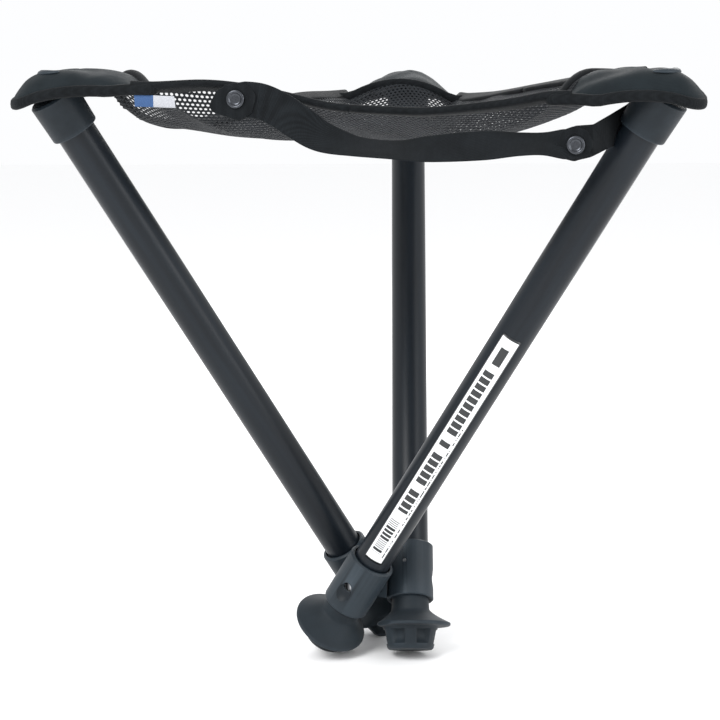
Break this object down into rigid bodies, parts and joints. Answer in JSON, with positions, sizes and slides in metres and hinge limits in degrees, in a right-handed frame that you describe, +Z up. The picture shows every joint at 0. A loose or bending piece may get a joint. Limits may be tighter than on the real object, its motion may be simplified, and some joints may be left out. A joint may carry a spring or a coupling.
{
  "type": "three leg stool",
  "caption": "Folding tripod stool: crossed telescopic tube legs on a low hub, sagging mesh seat with padded corner pockets and a carry strap on two press studs.",
  "frame": {"origin": "on the floor, under the middle of the bounding box", "axes": "+Z up, -Y the front with the carry strap, +X to the right seen from the front"},
  "size_m": [0.4072, 0.3778, 0.3837],
  "materials": {
    "tube_paint": "satin black powder coat",
    "black_plastic": "finely grained moulded plastic",
    "foot_rubber": "matt moulded rubber",
    "seat_fabric": "open woven mesh",
    "pad_fabric": "tight woven nylon",
    "webbing": "ribbed polyester webbing",
    "inner_alu": "drawn aluminium",
    "steel_parts": "plated steel",
    "bush_plastic": "natural nylon",
    "label_print": "printed film",
    "tag_print": "woven tag"
  },
  "bodies": {
    "hub": {"hub": "black_plastic", "hinge_rivet_right": "steel_parts", "hinge_rivet_left": "steel_parts", "hinge_rivet_rear": "steel_parts", "seat_mesh": "seat_fabric", "hem_front": "webbing", "hem_left": "webbing", "hem_right": "webbing", "seat_tag": "tag_print", "strap_tab_left": "webbing", "strap_tab_right": "webbing", "snap_stud_left": "steel_parts", "snap_stud_right": "steel_parts"},
    "leg_right": {"outer_tube_right": "tube_paint", "top_cap_right": "black_plastic", "collar_right": "black_plastic", "collar_rivet_right": "steel_parts", "corner_pad_right": "pad_fabric", "leg_label": "label_print"},
    "leg_left": {"outer_tube_left": "tube_paint", "top_cap_left": "black_plastic", "collar_left": "black_plastic", "collar_rivet_left": "steel_parts", "corner_pad_left": "pad_fabric"},
    "leg_rear": {"outer_tube_rear": "tube_paint", "top_cap_rear": "black_plastic", "collar_rear": "black_plastic", "collar_rivet_rear": "steel_parts", "corner_pad_rear": "pad_fabric"},
    "inner_leg_right": {"inner_tube_right": "inner_alu", "guide_bush_right": "bush_plastic", "foot_right": "foot_rubber", "button_clip_right": "steel_parts"},
    "inner_leg_left": {"inner_tube_left": "inner_alu", "guide_bush_left": "bush_plastic", "foot_left": "foot_rubber", "button_clip_left": "steel_parts"},
    "inner_leg_rear": {"inner_tube_rear": "inner_alu", "guide_bush_rear": "bush_plastic", "foot_rear": "foot_rubber", "button_clip_rear": "steel_parts"},
    "button_right": {"snap_button_right": "steel_parts"},
    "button_left": {"snap_button_left": "steel_parts"},
    "button_rear": {"snap_button_rear": "steel_parts"},
    "strap": {"carry_strap": "webbing", "snap_cap_left": "steel_parts", "snap_cap_right": "steel_parts"}
  },
  "joints": [
    {"name": "fold_right", "type": "hinge", "parent": "hub", "child": "leg_right", "pos_m": [0.00049, -0.06378, 0.04869], "axis": [-0.5, -0.866, 0], "range_deg": [0, 33], "deforming": ["seat_mesh", "hem_front", "hem_left", "hem_right", "strap_tab_left", "strap_tab_right", "corner_pad_right"]},
    {"name": "fold_left", "type": "hinge", "parent": "hub", "child": "leg_left", "pos_m": [0.00049, -0.0236, 0.04869], "axis": [-0.5, 0.866, 0], "range_deg": [0, 33], "deforming": ["corner_pad_left"]},
    {"name": "fold_rear", "type": "hinge", "parent": "hub", "child": "leg_rear", "pos_m": [0.03529, -0.04369, 0.04869], "axis": [1, 0, 0], "range_deg": [0, 33], "deforming": ["corner_pad_rear"]},
    {"name": "extend_right", "type": "slide", "parent": "leg_right", "child": "inner_leg_right", "axis": [-0.4729, 0.2731, -0.8377], "range_m": [0, 0.339]},
    {"name": "extend_left", "type": "slide", "parent": "leg_left", "child": "inner_leg_left", "axis": [0.4729, 0.2731, -0.8377], "range_m": [0, 0.339]},
    {"name": "extend_rear", "type": "slide", "parent": "leg_rear", "child": "inner_leg_rear", "axis": [0, -0.5461, -0.8377], "range_m": [0, 0.339]},
    {"name": "press_button_right", "type": "slide", "parent": "inner_leg_right", "child": "button_right", "axis": [0.5, 0.866, 0], "range_m": [0, 0.0025], "stiffness_N_per_m": 600, "springref_m": -0.003, "deforming": ["button_clip_right"]},
    {"name": "press_button_left", "type": "slide", "parent": "inner_leg_left", "child": "button_left", "axis": [0.5, -0.866, 0], "range_m": [0, 0.0025], "stiffness_N_per_m": 600, "springref_m": -0.003, "deforming": ["button_clip_left"]},
    {"name": "press_button_rear", "type": "slide", "parent": "inner_leg_rear", "child": "button_rear", "axis": [-1, 0, 0], "range_m": [0, 0.0025], "stiffness_N_per_m": 600, "springref_m": -0.003, "deforming": ["button_clip_rear"]},
    {"name": "strap_unsnap", "type": "slide", "parent": "hub", "child": "strap", "axis": [-0.111, -0.9938, 0], "range_m": [0, 0.012]}
  ],
  "couplings": [
    {"joint": "fold_left", "follows": "fold_right", "ratio": 1},
    {"joint": "fold_rear", "follows": "fold_right", "ratio": 1}
  ]
}
